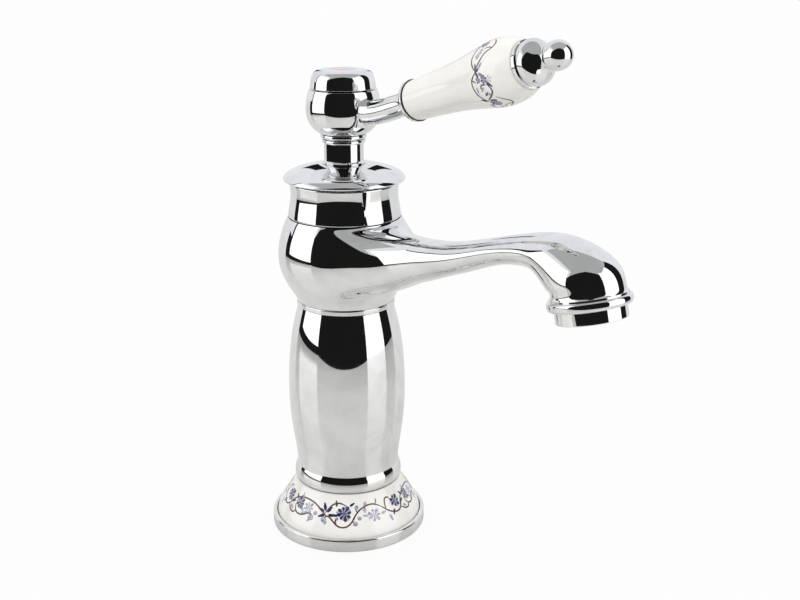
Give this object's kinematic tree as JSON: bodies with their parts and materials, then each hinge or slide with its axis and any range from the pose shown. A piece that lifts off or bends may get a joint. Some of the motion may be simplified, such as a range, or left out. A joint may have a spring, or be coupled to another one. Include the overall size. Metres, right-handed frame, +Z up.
{
  "type": "basin mixer tap",
  "caption": "Single-lever basin mixer tap with a chromed barrel column on a porcelain skirt, a swan spout with an aerator and a porcelain lever grip.",
  "frame": {"origin": "centre of the underside of the foot ring, on the basin", "axes": "+Z up along the column, +X along the spout, +Y to the spout's left"},
  "size_m": [0.1705, 0.064, 0.2077],
  "materials": {
    "chrome_plate": "polished",
    "porcelain": "glossy glaze with a vine scroll",
    "black_rubber": "matte",
    "clear_washer": "translucent",
    "cartridge_plastic": "moulded",
    "aerator_plastic": "moulded",
    "disc_ceramic": "lapped",
    "plain_brass": "turned",
    "steel": "turned",
    "index_mark": "half red, half blue"
  },
  "bodies": {
    "body": {"foot_ring": "chrome_plate", "base_seal": "black_rubber", "lower_washer": "clear_washer", "porcelain_skirt": "porcelain", "upper_washer": "clear_washer", "column": "chrome_plate", "neck_ring": "chrome_plate", "spout_body": "chrome_plate", "collar": "chrome_plate", "aerator_housing": "chrome_plate", "aerator_insert": "aerator_plastic", "aerator_seal": "black_rubber", "cartridge_base": "cartridge_plastic", "cartridge_housing": "cartridge_plastic", "cartridge_nut": "plain_brass", "inlet_seals": "black_rubber", "cartridge_o_ring": "black_rubber", "fixed_disc": "disc_ceramic"},
    "swivel": {"spindle_carrier": "cartridge_plastic", "pivot_pin": "steel"},
    "disc": {"moving_disc": "disc_ceramic", "disc_coupler": "cartridge_plastic"},
    "handle": {"spindle": "plain_brass", "hub": "chrome_plate", "hat": "chrome_plate", "handle_screw": "steel", "hub_cap": "chrome_plate", "index_plug": "index_mark", "lever_arm": "chrome_plate", "grip_washer": "black_rubber", "porcelain_grip": "porcelain", "tie_rod": "steel", "end_bell": "chrome_plate", "finial": "chrome_plate"}
  },
  "joints": [
    {"name": "lever_turn", "type": "hinge", "parent": "body", "child": "swivel", "pos_m": [0, 0, 0.117], "axis": [0, 0, 1], "range_deg": [-45, 45]},
    {"name": "lever_lift", "type": "hinge", "parent": "swivel", "child": "handle", "pos_m": [0, 0, 0.117], "axis": [0, -1, 0], "range_deg": [0, 20]},
    {"name": "disc_slide", "type": "slide", "parent": "swivel", "child": "disc", "axis": [1, 0, 0], "range_m": [0, 0.00284]}
  ],
  "couplings": [
    {"joint": "disc_slide", "follows": "lever_lift", "m_per_rad": 0.007839}
  ]
}
